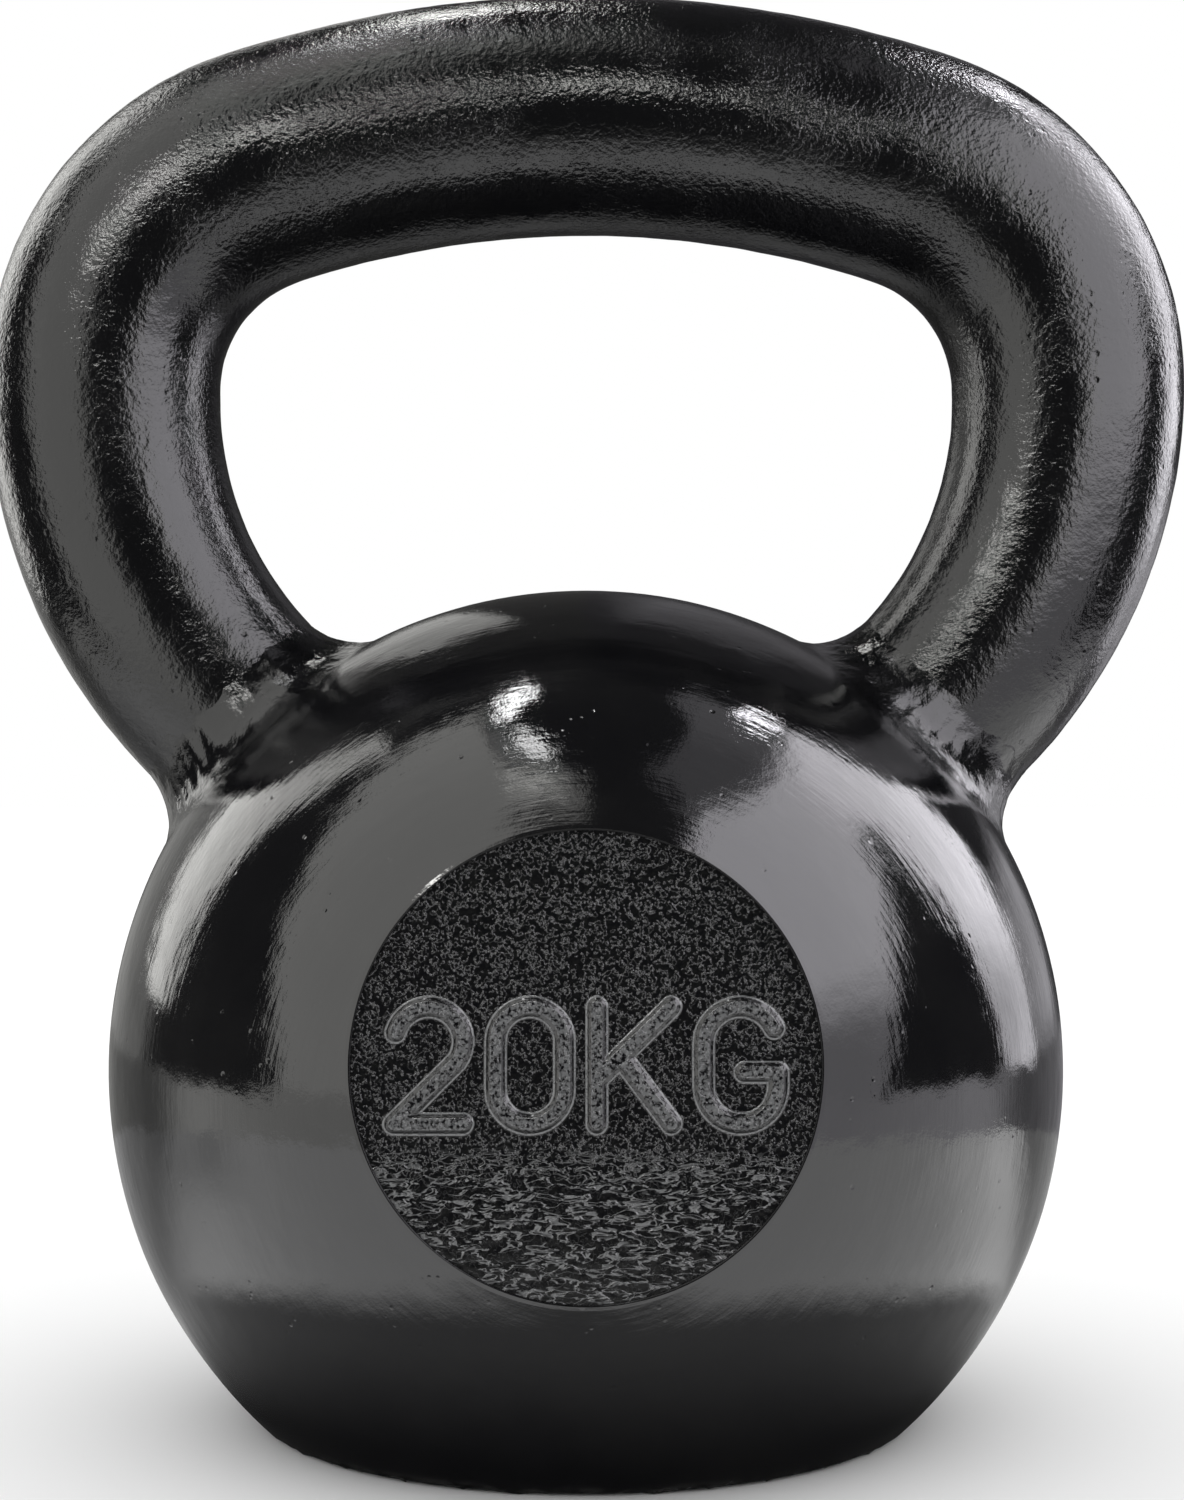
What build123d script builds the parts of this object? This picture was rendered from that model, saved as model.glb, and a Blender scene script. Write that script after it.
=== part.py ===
"""Kettlebell, 20 kg: a cast-iron ball with a bent bar handle welded on.

Millimetres. +Z is up, and the origin is the centre of the flat foot, on the floor.
The handle lies in the XZ plane, and the weight mark faces -Y.
"""
import os
from math import asin, cos, radians, sin, sqrt

from build123d import *

# ---------------------------------------------------------------- driving dimensions
# Ball
ball_radius = 83.0
ball_centre_height = 60.8       # above the floor; the ball is cut flat below it for the foot
foot_edge_radius = 1.5

# Handle: a round bar, bent in one plane, that leaves the ball square to its surface
root_angle = 44.6               # of each root, from the vertical, at the ball's centre
leg_bend_radius = 78.0          # bends are measured to the bar's centre line
leg_turn = 45.3                 # degrees
shoulder_bend_radius = 40.8
shoulder_turn = 71.0            # degrees
root_bar_radius = 19.5
shoulder_bar_radius = 20.5      # where the leg's bend meets the shoulder's
grip_bar_radius = 20.8          # all over the top of the handle

# Fillet welds between the bar's ends and the ball
weld_leg = 7.5                  # up the bar, and out along the ball
weld_hollow = 1.3               # how far the bead's face dips below a straight one
weld_toe_margin = 0.8           # straight bar past the bead's toe, before the first bend

# Roundels: flat round faces on the ball's front and back, sunk a little and left as cast
roundel_radius = 34.8
roundel_rise = 7.9              # centre of a roundel's rim above the ball's centre
roundel_depth = 1.2             # the flat floor below the rim

# Weight mark: raised characters on the front roundel's floor
mark_relief = 1.0               # the characters' tops above the floor
mark_root = 1.0                 # how far the characters run on below the floor, into the ball
mark_stroke = 2.6
mark_height = 19.8
mark_gap = 2.2                  # between one character and the next
figure_width = 12.8
letter_width = 13.6

# Adjusting bore, up from the foot, for the charge that trims the bell to its weight
bore_radius = 14.0
bore_depth = 62.0               # from the floor
charge_gap = 0.1                # round the set charge, which shrank as it cured

# Base plug
plug_recess = 1.0               # the plug's face above the floor
collar_radius = 19.0
collar_thickness = 3.5
collar_gap = 0.3                # between the collar and its counterbore
shank_gap = 0.05                # a plain cylinder stands for the thread
shank_length = 14.0             # past the seal
socket_across_flats = 12.0
socket_depth = 8.0
plug_edge = 0.6                 # chamfer

# Seal under the plug's collar
seal_thickness = 1.5
seal_inner_gap = 0.6            # between the seal and the plug's shank
seal_outer_gap = 0.4            # between the seal and the counterbore

# ---------------------------------------------------------------- derived values
ball_centre = (0, 0, ball_centre_height)
roundel_reach = sqrt(ball_radius**2 - roundel_radius**2)    # from the ball's centre to the rim
roundel_lean = asin(roundel_rise / roundel_reach)           # a roundel faces slightly upward
floor_reach = roundel_reach - roundel_depth

top_turn = 90 + root_angle - leg_turn - shoulder_turn    # half of the top bend, degrees

weld_inner_angle = asin(root_bar_radius / ball_radius)   # where the bar's side meets the ball
weld_outer_angle = weld_inner_angle + weld_leg / ball_radius
root_seat = ball_radius * cos(weld_inner_angle)

# The right-hand root's axis and the point where its first bend starts, in X and Z
root_end = root_seat + weld_leg + weld_toe_margin
root_direction = (sin(radians(root_angle)), cos(radians(root_angle)))
root_top = (root_end * root_direction[0], ball_centre_height + root_end * root_direction[1])

counterbore_radius = collar_radius + collar_gap
counterbore_depth = plug_recess + collar_thickness + seal_thickness
shank_radius = bore_radius - shank_gap
shank_end = counterbore_depth + shank_length


def export(part, name):
    """Name a finished piece and write its STEP file."""
    part.label = name
    export_step(part, f"parts/{name}.step")


# ---------------------------------------------------------------- weight mark's characters
# Each function draws one character, centred on the origin, with strokes of one width.
line_half_height = (mark_height - mark_stroke) / 2
figure_bow = (figure_width - mark_stroke) / 2            # radius of a figure's round ends
letter_bow = (letter_width - mark_stroke) / 2


def figure_two():
    """A round top, a straight slope to the lower left and a flat foot."""
    tip_angle = 165
    bow_turn = -200
    with BuildLine() as centre_line:
        bow = CenterArc((0, line_half_height - figure_bow), figure_bow, tip_angle, bow_turn)
        Polyline(bow @ 1, (-figure_bow, -line_half_height), (figure_bow, -line_half_height))
    with BuildSketch() as figure:
        SlotArc(centre_line.wire(), mark_stroke)
    return figure.sketch


def figure_nought():
    """An upright ring with straight sides."""
    inner_height = mark_height - 2 * mark_stroke
    inner_width = figure_width - 2 * mark_stroke
    with BuildSketch() as figure:
        SlotOverall(mark_height, figure_width, rotation=90)
        SlotOverall(inner_height, inner_width, rotation=90, mode=Mode.SUBTRACT)
    return figure.sketch


def letter_k():
    """A stem, an arm up to the right and a leg from the arm down to the right."""
    arm_start = -0.25           # on the stem, as a share of half the height
    leg_start = 0.32            # along the arm, as a share of its length
    stem_head = Vector(-letter_bow, line_half_height)
    stem_foot = Vector(-letter_bow, -line_half_height)
    arm_foot = Vector(-letter_bow, arm_start * line_half_height)
    arm_head = Vector(letter_bow, line_half_height)
    leg_head = arm_foot + leg_start * (arm_head - arm_foot)
    leg_foot = Vector(letter_bow, -line_half_height)
    with BuildSketch() as letter:
        for start, end in ((stem_head, stem_foot), (arm_foot, arm_head), (leg_head, leg_foot)):
            SlotArc(Wire([Edge.make_line(start, end)]), mark_stroke)
    return letter.sketch


def letter_g():
    """An open round letter whose lower end turns up to a short bar."""
    mouth_angle = 25
    bar_height = -0.12 * line_half_height
    bar_end = 0.1 * letter_bow
    with BuildLine() as centre_line:
        top_centre = (0, line_half_height - letter_bow)
        bottom_centre = (0, letter_bow - line_half_height)
        top_arc = CenterArc(top_centre, letter_bow, mouth_angle, 180 - mouth_angle)
        bottom_arc = CenterArc(bottom_centre, letter_bow, 180, 180)
        Line(top_arc @ 1, bottom_arc @ 0)
        Polyline(bottom_arc @ 1, (letter_bow, bar_height), (bar_end, bar_height))
    with BuildSketch() as letter:
        SlotArc(centre_line.wire(), mark_stroke)
    return letter.sketch


# ---------------------------------------------------------------- roundels and weight mark
roundel_floor = Plane(
    origin=(0, -floor_reach * cos(roundel_lean),
            ball_centre_height + floor_reach * sin(roundel_lean)),
    x_dir=(1, 0, 0),
    z_dir=(0, -cos(roundel_lean), sin(roundel_lean)),
)
with BuildPart() as roundel_tool:
    with BuildSketch(roundel_floor):
        Circle(roundel_radius)
    extrude(amount=ball_radius)
    mirror(about=Plane.XZ)

mark_width = 2 * figure_width + 2 * letter_width + 3 * mark_gap
with BuildPart() as weight_mark:
    with BuildSketch(roundel_floor.offset(-mark_root)):
        left_side = -mark_width / 2
        for character, width in ((figure_two, figure_width), (figure_nought, figure_width),
                                 (letter_k, letter_width), (letter_g, letter_width)):
            with Locations((left_side + width / 2, 0)):
                add(character())
            left_side += width + mark_gap
    extrude(amount=mark_root + mark_relief)

# ---------------------------------------------------------------- ball
with BuildPart() as ball:
    with Locations(ball_centre):
        Sphere(ball_radius)
    split(bisect_by=Plane.XY, keep=Keep.TOP)
    foot = ball.faces().filter_by(GeomType.PLANE).sort_by(Axis.Z)[0]
    fillet(foot.edges(), radius=foot_edge_radius)
    add(roundel_tool.part, mode=Mode.SUBTRACT)
    add(weight_mark.part)
    with Locations(Plane.XY.rotated((180, 0, 0))):
        CounterBoreHole(bore_radius, counterbore_radius, counterbore_depth, bore_depth)

# ---------------------------------------------------------------- handle
# Half of the handle is swept from its root to the middle of the grip, and mirrored. The
# root is a plain round bar, and its end is coped to sit on the ball all round.
with BuildPart() as handle:
    with BuildLine(Plane.XZ) as half_handle:
        leg = JernArc(root_top, root_direction, leg_bend_radius, leg_turn)
        shoulder = JernArc(leg @ 1, leg % 1, shoulder_bend_radius, shoulder_turn)
        top_bend_radius = (shoulder @ 1).X / sin(radians(top_turn))
        top = JernArc(shoulder @ 1, shoulder % 1, top_bend_radius, top_turn)
    stations = (
        (leg, 0, root_bar_radius),
        (leg, 1, shoulder_bar_radius),
        (shoulder, 1, grip_bar_radius),
        (top, 1, grip_bar_radius),
    )
    for bend, end, bar_radius in stations:
        with BuildSketch(Plane(origin=bend @ end, z_dir=bend % end)):
            Circle(bar_radius)
    sweep(path=half_handle.line, multisection=True)
    with BuildSketch(Plane(origin=leg @ 0, z_dir=leg % 0)):
        Circle(root_bar_radius)
    extrude(amount=root_seat / 2 - root_end)
    mirror(about=Plane.YZ)
    with Locations(ball_centre):
        Sphere(ball_radius, mode=Mode.SUBTRACT)

# ---------------------------------------------------------------- welds


def root_weld(side):
    """The fillet bead round one root: +1 is the root on +X, and -1 the one on -X."""
    outward = Vector(side * root_direction[0], 0, root_direction[1])
    across = Vector(root_direction[1], 0, -side * root_direction[0])
    bead_plane = Plane(origin=ball_centre, x_dir=across, z_dir=across.cross(outward))
    corner = Vector(root_bar_radius, root_seat)
    bar_toe = corner + Vector(0, weld_leg)
    ball_toe = ball_radius * Vector(sin(weld_outer_angle), cos(weld_outer_angle))
    seat_angle = (weld_inner_angle + weld_outer_angle) / 2
    seat_middle = ball_radius * Vector(sin(seat_angle), cos(seat_angle))
    face_middle = (bar_toe + ball_toe) / 2
    hollow = (corner - face_middle).normalized() * weld_hollow
    with BuildPart() as weld:
        with BuildSketch(bead_plane):
            with BuildLine():
                Line(corner, bar_toe)
                ThreePointArc(bar_toe, face_middle + hollow, ball_toe)
                ThreePointArc(ball_toe, seat_middle, corner)
            make_face()
        revolve(axis=Axis(ball_centre, outward))
    return weld.part


# ---------------------------------------------------------------- base plug
with BuildPart() as base_plug:
    with BuildSketch(Plane.XY.offset(plug_recess)):
        Circle(collar_radius)
    extrude(amount=collar_thickness)
    with BuildSketch(Plane.XY.offset(plug_recess + collar_thickness)):
        Circle(shank_radius)
    extrude(amount=shank_end - plug_recess - collar_thickness)
    rims = base_plug.edges().filter_by(GeomType.CIRCLE).group_by(Axis.Z)
    chamfer(rims[0] + rims[-1], length=plug_edge)
    with BuildSketch(Plane.XY.offset(plug_recess)):
        RegularPolygon(socket_across_flats / 2, 6, major_radius=False)
    extrude(amount=socket_depth, mode=Mode.SUBTRACT)

# ---------------------------------------------------------------- seal and charge
with BuildPart() as plug_seal:
    with BuildSketch(Plane.XY.offset(plug_recess + collar_thickness)):
        Circle(counterbore_radius - seal_outer_gap)
        Circle(shank_radius + seal_inner_gap, mode=Mode.SUBTRACT)
    extrude(amount=seal_thickness)

# The charge fills the bore above the plug: shot, set in resin.
with BuildPart() as ballast:
    with BuildSketch(Plane.XY.offset(shank_end)):
        Circle(bore_radius - charge_gap)
    extrude(amount=bore_depth - shank_end)

# ---------------------------------------------------------------- export
os.makedirs("parts", exist_ok=True)
export(ball.part, "ball")
export(handle.part, "handle")
export(root_weld(-1), "left_weld")
export(root_weld(1), "right_weld")
export(ballast.part, "ballast")
export(base_plug.part, "base_plug")
export(plug_seal.part, "plug_seal")
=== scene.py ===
"""Looks for a cast iron kettlebell: a ball with a raised weight mark, a looped handle and a foot plug."""

import math

import bmesh
import bpy
from mathutils import Matrix, Vector


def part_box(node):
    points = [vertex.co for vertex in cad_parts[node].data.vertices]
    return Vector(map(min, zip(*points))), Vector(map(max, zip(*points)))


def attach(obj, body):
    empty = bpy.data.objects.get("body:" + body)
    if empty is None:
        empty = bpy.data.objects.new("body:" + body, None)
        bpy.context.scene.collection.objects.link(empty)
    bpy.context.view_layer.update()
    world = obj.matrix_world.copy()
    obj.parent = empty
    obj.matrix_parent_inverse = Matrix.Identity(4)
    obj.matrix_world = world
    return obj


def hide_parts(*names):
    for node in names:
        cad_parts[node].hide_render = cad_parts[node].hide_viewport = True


bl_info = {
    "name": "Cast kettlebell",
    "version": (1, 0, 0),
    "blender": (4, 5, 0),
    "location": "View3D > Sidebar > Kettlebell",
    "description": "Builds the visible pieces of a cast iron kettlebell around its frame",
    "category": "Add Mesh",
}

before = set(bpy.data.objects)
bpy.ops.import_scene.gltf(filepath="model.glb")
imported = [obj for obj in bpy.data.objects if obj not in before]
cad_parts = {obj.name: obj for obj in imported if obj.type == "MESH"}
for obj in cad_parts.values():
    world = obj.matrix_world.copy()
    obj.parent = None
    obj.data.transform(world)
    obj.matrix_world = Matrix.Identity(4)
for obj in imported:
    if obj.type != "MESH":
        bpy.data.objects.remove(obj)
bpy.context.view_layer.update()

MM = 0.001
BALL_LOW, BALL_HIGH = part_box("ball")
BALL_RADIUS = (BALL_HIGH.x - BALL_LOW.x) / 2
BALL_CENTRE = Vector((0, 0, BALL_HIGH.z - BALL_RADIUS))


# ---------------------------------------------------------------- shader expressions


class Socket:
    """One output of a shader node, which Python's operators combine with others."""

    def __init__(self, tree, output):
        self.tree = tree
        self.output = output

    def node(self, kind, result=0, setup=None, **values):
        """Adds any node, sets its properties and inputs, and wraps one of its outputs."""
        made = self.tree.nodes.new(kind)
        for name, value in (setup or {}).items():
            setattr(made, name, value)
        for name, value in values.items():
            self.feed(made.inputs[name.replace("_", " ")], value)
        return Socket(self.tree, made.outputs[result])

    def feed(self, entry, value):
        """Links a socket, or sets a constant, on an input."""
        if isinstance(value, Socket):
            self.tree.links.new(value.output, entry)
        else:
            entry.default_value = value

    def math(self, operation, *items):
        """The result of one operation on the items, each a socket or a number."""
        made = self.tree.nodes.new("ShaderNodeMath")
        made.operation = operation
        for entry, item in zip(made.inputs, items):
            self.feed(entry, item)
        return Socket(self.tree, made.outputs[0])

    def __add__(self, other):
        return self.math("ADD", self, other)

    def __radd__(self, other):
        return self.math("ADD", other, self)

    def __sub__(self, other):
        return self.math("SUBTRACT", self, other)

    def __rsub__(self, other):
        return self.math("SUBTRACT", other, self)

    def __mul__(self, other):
        return self.math("MULTIPLY", self, other)

    def __rmul__(self, other):
        return self.math("MULTIPLY", other, self)

    def __neg__(self):
        return self.math("MULTIPLY", self, -1.0)

    def __pow__(self, other):
        return self.math("POWER", self, other)

    def step(self, low, high):
        """0 at low, 1 at high, with a smooth rise between them."""
        return self.node(
            "ShaderNodeMapRange",
            setup={"interpolation_type": "SMOOTHSTEP"},
            Value=self,
            From_Min=low,
            From_Max=high,
        )

    def band(self, low, high, soft):
        """1 between low and high, 0 outside, with edges 2 * soft wide."""
        rise = (self - low).step(-soft, soft)
        fall = (self - high).step(-soft, soft)
        return rise * (1.0 - fall)

    def mix(self, first, second):
        """The colour between two colours that this value gives."""
        made = self.tree.nodes.new("ShaderNodeMix")
        made.data_type = "RGBA"
        self.feed(made.inputs[0], self)
        self.feed(made.inputs[6], first)
        self.feed(made.inputs[7], second)
        return Socket(self.tree, made.outputs[2])

    def vector(self, x, y, z):
        """Three parts put together as a vector."""
        return self.node("ShaderNodeCombineXYZ", X=x, Y=y, Z=z)

    def split(self):
        """The three parts of a vector."""
        made = self.tree.nodes.new("ShaderNodeSeparateXYZ")
        self.feed(made.inputs[0], self)
        return [Socket(self.tree, part) for part in made.outputs]

    def noise(self, scale, detail=2.0, rough=0.5, distort=0.0):
        """Fractal noise on this vector, in cells per metre."""
        return self.node(
            "ShaderNodeTexNoise",
            Vector=self,
            Scale=scale,
            Detail=detail,
            Roughness=rough,
            Distortion=distort,
        )

    def cells(self, scale):
        """Distance from the middle of the nearest scattered cell, in cells."""
        return self.node("ShaderNodeTexVoronoi", Vector=self, Scale=scale)

    def bump(self, distance, normal=None):
        """A normal that this height bends."""
        values = {"Height": self, "Distance": distance}
        if normal:
            values["Normal"] = normal
        return self.node("ShaderNodeBump", **values)


def new_material(name):
    """An empty material with its shader and the place on the piece, in metres."""
    material = bpy.data.materials.new(name)
    material.use_nodes = True
    tree = material.node_tree
    tree.nodes.clear()
    output = tree.nodes.new("ShaderNodeOutputMaterial")
    shader = tree.nodes.new("ShaderNodeBsdfPrincipled")
    tree.links.new(shader.outputs[0], output.inputs[0])
    coordinates = tree.nodes.new("ShaderNodeTexCoord")
    return material, shader, Socket(tree, coordinates.outputs["Object"])


def set_shader(shader, place, **values):
    """Sets or links the shader's inputs by name."""
    for name, value in values.items():
        place.feed(shader.inputs[name.replace("_", " ")], value)


def shade(grey, tint=(1.0, 1.0, 1.0)):
    """A grey with a slight tint."""
    return (grey * tint[0], grey * tint[1], grey * tint[2], 1.0)


# ---------------------------------------------------------------- modelling helpers


def clear_selection():
    if bpy.context.object and bpy.context.object.mode != "OBJECT":
        bpy.ops.object.mode_set(mode="OBJECT")
    bpy.ops.object.select_all(action="DESELECT")


def focus(obj):
    clear_selection()
    obj.select_set(True)
    bpy.context.view_layer.objects.active = obj


def open_edit(obj):
    focus(obj)
    bpy.ops.object.mode_set(mode="EDIT")
    bpy.ops.mesh.select_mode(type="VERT")


def close_edit():
    bpy.ops.object.mode_set(mode="OBJECT")


def pick_vertices(obj, test):
    """Selects the vertices whose place passes the test, and the edges between them."""
    mesh = bmesh.from_edit_mesh(obj.data)
    for face in mesh.faces:
        face.select = False
    for edge in mesh.edges:
        edge.select = False
    for vertex in mesh.verts:
        vertex.select = test(vertex.co)
    mesh.select_flush(True)
    bmesh.update_edit_mesh(obj.data)


def settle(obj):
    """Puts the object's place and turn into its mesh."""
    focus(obj)
    bpy.ops.object.transform_apply(location=True, rotation=True, scale=True)


def smooth(obj, angle):
    focus(obj)
    bpy.ops.object.shade_smooth_by_angle(angle=math.radians(angle))


def apply_modifiers(obj):
    focus(obj)
    for modifier in list(obj.modifiers):
        bpy.ops.object.modifier_apply(modifier=modifier.name)


def subdivide(obj, levels):
    modifier = obj.modifiers.new("subdivision", "SUBSURF")
    modifier.levels = levels
    modifier.render_levels = levels
    apply_modifiers(obj)


def roughen(obj, size, height, group="", level=1.0):
    """Moves the surface by the height, as solid clouds of that size say.

    At level 1 the surface moves inward only, at level 0.5 as much outward as inward."""
    texture = bpy.data.textures.new(obj.name + "_clouds", "CLOUDS")
    texture.noise_scale = size
    modifier = obj.modifiers.new("roughen", "DISPLACE")
    modifier.texture = texture
    modifier.texture_coords = "LOCAL"
    modifier.strength = height
    modifier.mid_level = level
    modifier.vertex_group = group
    apply_modifiers(obj)


def weigh(obj, name, weight):
    """A vertex group whose weights are a function of place."""
    group = obj.vertex_groups.new(name=name)
    for vertex in obj.data.vertices:
        value = weight(vertex.co)
        if value > 0:
            group.add([vertex.index], min(1.0, value), "REPLACE")
    return group.name


def finish_piece(obj, material, slot, *nodes):
    """Gives a piece its material and its body, and hides the frame nodes it stands for. The slot is not
    used.
    """
    obj.data.materials.clear()
    obj.data.materials.append(material)
    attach(obj, "root")
    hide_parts(*nodes)


def clamp(value):
    return max(0.0, min(1.0, value))


# ---------------------------------------------------------------- sizes and colours


def length(label, note, default, high=1.0):
    return bpy.props.FloatProperty(
        name=label,
        description=note,
        default=default,
        min=0.0,
        max=high,
        unit="LENGTH",
        precision=5,
    )


def turn(label, note, degrees):
    return bpy.props.FloatProperty(
        name=label,
        description=note,
        default=math.radians(degrees),
        min=-math.pi,
        max=math.pi,
        subtype="ANGLE",
    )


def share(label, note, default, high=1.0):
    return bpy.props.FloatProperty(
        name=label, description=note, default=default, min=0.0, max=high, subtype="FACTOR"
    )


def colour(label, note, default):
    return bpy.props.FloatVectorProperty(
        name=label, description=note, default=default, min=0.0, max=1.0, size=3, subtype="COLOR"
    )


class KETTLEBELL_PG_ball(bpy.types.PropertyGroup):
    """Sizes of the ball, its bore and the flat round recesses front and back."""

    skin_gap: length("Skin gap", "How far the ball's mean surface lies inside its frame", 0.10 * MM)
    waves: length("Waves", "Height of the slow unevenness left by hand grinding", 0.22 * MM)
    wave_size: length("Wave size", "Size of the slow unevenness", 26 * MM)
    dimple_size: length("Dimple size", "Size of the small unevenness", 7 * MM)
    foot_edge: length("Foot edge", "Width of the rounded edge round the foot", 1.5 * MM)
    recess_radius: length("Recess radius", "Radius of the round recess", 34.8 * MM)
    recess_rise: length("Recess rise", "Height of the recess above the ball's centre", 7.9 * MM)
    recess_depth: length("Recess depth", "Depth of the flat recess below its rim", 1.2 * MM)
    recess_rim: length("Recess rim", "Width of the rounded rim of the recess", 0.9 * MM)
    counterbore_radius: length("Counterbore radius", "Radius of the plug's seat", 19.3 * MM)
    counterbore_depth: length("Counterbore depth", "Depth of the plug's seat", 6.0 * MM)
    bore_radius: length("Bore radius", "Radius of the bore for the charge", 14.0 * MM)
    bore_depth: length("Bore depth", "Depth of the bore from the foot", 62.0 * MM)


class KETTLEBELL_PG_mark(bpy.types.PropertyGroup):
    """Sizes of the raised weight mark."""

    height: length("Mark height", "Height of the figures and letters", 19.8 * MM)
    stroke: length("Stroke", "Stroke width kept inside the height", 2.6 * MM)
    top_half: length("Flat top", "Half of the flat top's width", 0.72 * MM)
    foot_half: length("Foot", "Half of the ridge's width at its foot", 1.75 * MM)
    relief: length("Relief", "Height of the ridge above the recess", 0.7 * MM)
    grid_step: length("Grid step", "Spacing of the recess surface's points", 0.27 * MM)
    drawn_below: length("Drawn grain", "Distance under the middle where the grain coarsens", 10.5 * MM)


class KETTLEBELL_PG_handle(bpy.types.PropertyGroup):
    """Sizes of the looped handle's bends and bar."""

    root_angle: turn("Root angle", "Lean of each root from upright", 44.6)
    root_end: length("Root end", "Distance of the first bend from the ball's centre", 88.98 * MM)
    leg_radius: length("Leg bend", "Radius of the bend of each leg", 78.0 * MM)
    leg_turn: turn("Leg turn", "Turn of the bend of each leg", 45.3)
    shoulder_radius: length("Shoulder bend", "Radius of each shoulder", 40.8 * MM)
    shoulder_turn: turn("Shoulder turn", "Turn of each shoulder", 71.0)
    bar_root: length("Bar at root", "Radius of the bar at the ball", 19.5 * MM)
    bar_shoulder: length("Bar at shoulder", "Radius of the bar where the shoulder starts", 20.5 * MM)
    bar_grip: length("Bar at grip", "Radius of the bar along the grip", 20.8 * MM)
    sides: bpy.props.IntProperty(
        name="Sides", description="Points round the bar before smoothing", default=48, min=12, max=96
    )
    sway: length("Sway", "Height of the bar's slow unevenness", 0.35 * MM)
    cast_height: length("Cast unevenness", "Height of the sand cast unevenness", 0.12 * MM)


class KETTLEBELL_PG_enamel(bpy.types.PropertyGroup):
    """Colours and gloss of the black enamel."""

    black: colour("Black", "The enamel's own colour", (0.0016, 0.0016, 0.0024))
    worn: colour("Worn", "Colour where the enamel has rubbed thin", (0.030, 0.029, 0.028))
    ball_gloss: share("Ball roughness", "Roughness of the ground and painted ball", 0.06)
    handle_gloss: share("Handle roughness", "Roughness of the cast handle", 0.10)
    mark_gloss: share("Mark roughness", "Roughness inside the recess", 0.12)


class KETTLEBELL_PG_studio(bpy.types.PropertyGroup):
    """Sizes and strengths of the light tent, and the camera."""

    tent_radius: length("Tent radius", "Radius of the ring of soft panels", 0.33)
    tent_height: length("Tent height", "Height of the ring of soft panels", 1.20, high=3.0)
    panel: share("Panels", "Brightness of all soft panels", 1.0, 4.0)
    backdrop: share("Backdrop", "Brightness of the plain background", 1.0, 4.0)
    fill: share("Fill", "Brightness of the soft light on matt surfaces", 1.26, 4.0)
    floor: colour("Floor", "Colour of the pale floor", (0.9, 0.9, 0.9))
    camera_distance: length("Camera distance", "Distance of the camera from the ball's centre", 0.4648)
    camera_rise: turn("Camera rise", "Elevation of the camera seen from the ball's centre", 6.5)
    camera_tilt: turn("Camera tilt", "Upward tilt of the camera", 0.27)
    camera_pan: turn("Camera pan", "Turn of the camera to the right", 0.13)
    lens: bpy.props.FloatProperty(
        name="Lens", description="Focal length", default=62.88, min=10, max=300, unit="CAMERA"
    )


# ---------------------------------------------------------------- recess frame


def recess_frame(facing=-1):
    """A recess's axis, the matrix of its own frame, its rim's distance and its lean.

    Facing is -1 for the front and 1 for the back."""
    ball = bpy.context.scene.kettlebell_ball
    distance = math.sqrt(BALL_RADIUS**2 - ball.recess_radius**2)
    lean = math.asin(ball.recess_rise / distance)
    axis = Vector((0, facing * math.cos(lean), math.sin(lean)))
    across = Vector((-facing, 0, 0))
    upward = axis.cross(across)
    turned = Matrix((across, upward, axis)).transposed().to_4x4()
    return axis, Matrix.Translation(BALL_CENTRE) @ turned, distance, lean


# ---------------------------------------------------------------- enamel materials


def ball_material():
    """Black gloss enamel over a ground casting, with fine grinding streaks round the recess."""
    enamel = bpy.context.scene.kettlebell_enamel
    material, shader, place = new_material("ball_enamel")
    x, y, z = place.split()
    height = z - BALL_CENTRE.z
    around = height.math("ARCTAN2", x, height)
    radius = (x * x + height * height) ** 0.5
    depth = y.math("ARCTAN2", radius, -y) * BALL_RADIUS
    streak_place = place.vector(
        around.math("COSINE", around) * (radius * 110.0),
        around.math("SINE", around) * (radius * 110.0),
        depth * 1500.0,
    )
    streaks = streak_place.noise(1.0, 3.0, 0.6)
    ridges = place.vector(
        around.math("COSINE", around) * (radius * 60.0),
        around.math("SINE", around) * (radius * 60.0),
        depth * 420.0,
    ).noise(1.0, 2.0, 0.55)
    patches = place.noise(45.0, 3.0, 0.55)
    slow = place.noise(90.0, 2.0, 0.5)
    peel = place.noise(900.0, 2.0, 0.5)
    grit = place.noise(2600.0, 2.0, 0.6)
    pits = 1.0 - place.cells(420.0).step(0.05, 0.22)
    pits = pits * place.noise(160.0, 1.0).step(0.56, 0.70)
    worn = (1.0 - z.step(0.4 * MM, 2.6 * MM)) * place.noise(330.0, 3.0, 0.65).step(0.42, 0.62)
    busy = patches.step(0.38, 0.66)
    height_field = (
        streaks * (0.20 + busy * 0.34)
        + ridges * 0.50
        + peel * 0.26
        + grit * 0.16
        - pits * 1.0
    )
    fine = height_field.bump(0.070 * MM)
    normal = slow.bump(0.22 * MM, normal=fine)
    tone = (patches.step(0.3, 0.75) * 0.5 + grit * 0.5).mix(
        (*enamel.black, 1.0), shade(0.007, (0.98, 0.97, 1.0))
    )
    base = worn.mix(tone, (*enamel.worn, 1.0))
    rough = enamel.ball_gloss * (0.75 + busy * 0.55) + streaks.step(0.55, 0.8) * 0.06
    rough = rough + worn * 0.25 + pits * 0.1
    set_shader(shader, place, Base_Color=base, Roughness=rough, IOR=1.5, Normal=normal)
    return material


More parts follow.
